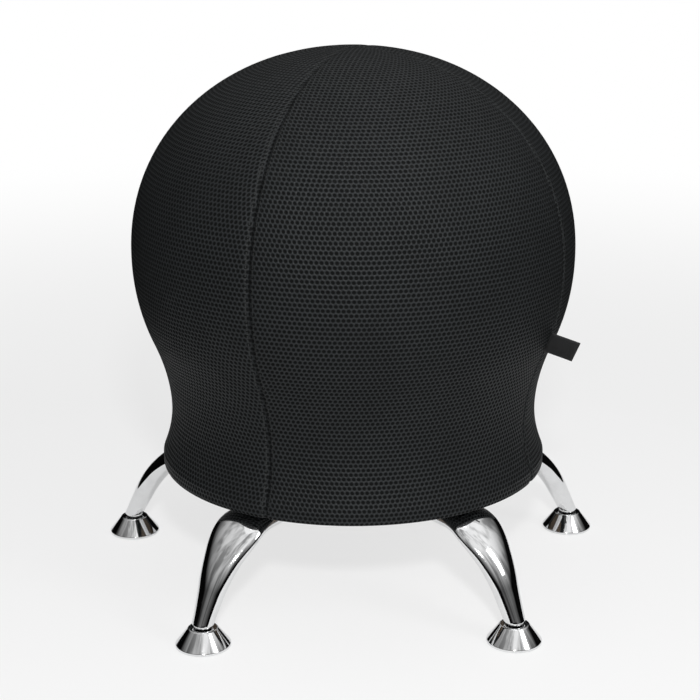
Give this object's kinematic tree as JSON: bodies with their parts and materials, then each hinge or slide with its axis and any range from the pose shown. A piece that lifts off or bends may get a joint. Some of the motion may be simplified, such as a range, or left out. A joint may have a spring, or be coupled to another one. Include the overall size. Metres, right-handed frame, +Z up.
{
  "type": "balance ball chair",
  "caption": "Backless balance ball chair: mesh-covered inflated ball on a round board, chromed spider base, bell glides.",
  "frame": {"origin": "on the floor, under the middle of the chair's outer box", "axes": "+Z up, -Y towards the front, +X to the right as the chair is seen from the front"},
  "size_m": [0.5716, 0.5464, 0.5797],
  "materials": {
    "cover_mesh": "matte spacer mesh",
    "label_tape": "satin woven tape",
    "hem_elastic": "matte cord",
    "ball_vinyl": "satin vinyl",
    "board_plywood": "matte plywood",
    "base_chrome": "mirror plated",
    "glide_chrome": "mirror plated",
    "zinc_steel": "zinc plated",
    "black_plastic": "moulded"
  },
  "bodies": {
    "base": {"seat_board": "board_plywood", "tee_nuts": "zinc_steel", "bolt_washers": "zinc_steel", "plate_bolts": "zinc_steel", "mounting_plate": "base_chrome", "hub_tube": "base_chrome", "hub_plug": "black_plastic", "hem_elastic": "hem_elastic", "leg_front_left": "base_chrome", "leg_front_right": "base_chrome", "leg_right": "base_chrome", "leg_back": "base_chrome", "leg_left": "base_chrome", "foot_insert_front_left": "zinc_steel", "foot_insert_front_right": "zinc_steel", "foot_insert_right": "zinc_steel", "foot_insert_back": "zinc_steel", "foot_insert_left": "zinc_steel"},
    "seat": {"ball": "ball_vinyl", "ball_plug": "black_plastic", "cover_front": "cover_mesh", "cover_right": "cover_mesh", "cover_back": "cover_mesh", "cover_left": "cover_mesh", "cover_label": "label_tape"},
    "stud_front_left": {"glide_stud_front_left": "glide_chrome"},
    "glide_front_left": {"glide_bell_front_left": "glide_chrome", "glide_pad_front_left": "black_plastic"},
    "stud_front_right": {"glide_stud_front_right": "glide_chrome"},
    "glide_front_right": {"glide_bell_front_right": "glide_chrome", "glide_pad_front_right": "black_plastic"},
    "stud_right": {"glide_stud_right": "glide_chrome"},
    "glide_right": {"glide_bell_right": "glide_chrome", "glide_pad_right": "black_plastic"},
    "stud_back": {"glide_stud_back": "glide_chrome"},
    "glide_back": {"glide_bell_back": "glide_chrome", "glide_pad_back": "black_plastic"},
    "stud_left": {"glide_stud_left": "glide_chrome"},
    "glide_left": {"glide_bell_left": "glide_chrome", "glide_pad_left": "black_plastic"}
  },
  "joints": [
    {"name": "seat_bounce", "type": "slide", "parent": "base", "child": "seat", "axis": [0, 0, 1], "range_m": [-0.05, 0], "stiffness_N_per_m": 15000, "springref_m": 0.002, "deforming": ["ball", "cover_front", "cover_right", "cover_back", "cover_left"]},
    {"name": "glide_spin_front_left", "type": "hinge", "parent": "base", "child": "stud_front_left", "pos_m": [-0.159, -0.24467, 0.024], "axis": [0, 0, 1], "continuous": true},
    {"name": "glide_tilt_front_left", "type": "hinge", "parent": "stud_front_left", "child": "glide_front_left", "pos_m": [-0.159, -0.24467, 0.013], "axis": [0.809, -0.5878, 0], "range_deg": [-6, 6]},
    {"name": "glide_spin_front_right", "type": "hinge", "parent": "base", "child": "stud_front_right", "pos_m": [0.159, -0.24467, 0.024], "axis": [0, 0, 1], "continuous": true},
    {"name": "glide_tilt_front_right", "type": "hinge", "parent": "stud_front_right", "child": "glide_front_right", "pos_m": [0.159, -0.24467, 0.013], "axis": [0.809, 0.5878, 0], "range_deg": [-6, 6]},
    {"name": "glide_spin_right", "type": "hinge", "parent": "base", "child": "stud_right", "pos_m": [0.25726, 0.05776, 0.024], "axis": [0, 0, 1], "continuous": true},
    {"name": "glide_tilt_right", "type": "hinge", "parent": "stud_right", "child": "glide_right", "pos_m": [0.25726, 0.05776, 0.013], "axis": [-0.309, 0.9511, 0], "range_deg": [-6, 6]},
    {"name": "glide_spin_back", "type": "hinge", "parent": "base", "child": "stud_back", "pos_m": [0, 0.24467, 0.024], "axis": [0, 0, 1], "continuous": true},
    {"name": "glide_tilt_back", "type": "hinge", "parent": "stud_back", "child": "glide_back", "pos_m": [0, 0.24467, 0.013], "axis": [-1, 0, 0], "range_deg": [-6, 6]},
    {"name": "glide_spin_left", "type": "hinge", "parent": "base", "child": "stud_left", "pos_m": [-0.25726, 0.05776, 0.024], "axis": [0, 0, 1], "continuous": true},
    {"name": "glide_tilt_left", "type": "hinge", "parent": "stud_left", "child": "glide_left", "pos_m": [-0.25726, 0.05776, 0.013], "axis": [-0.309, -0.9511, 0], "range_deg": [-6, 6]}
  ]
}
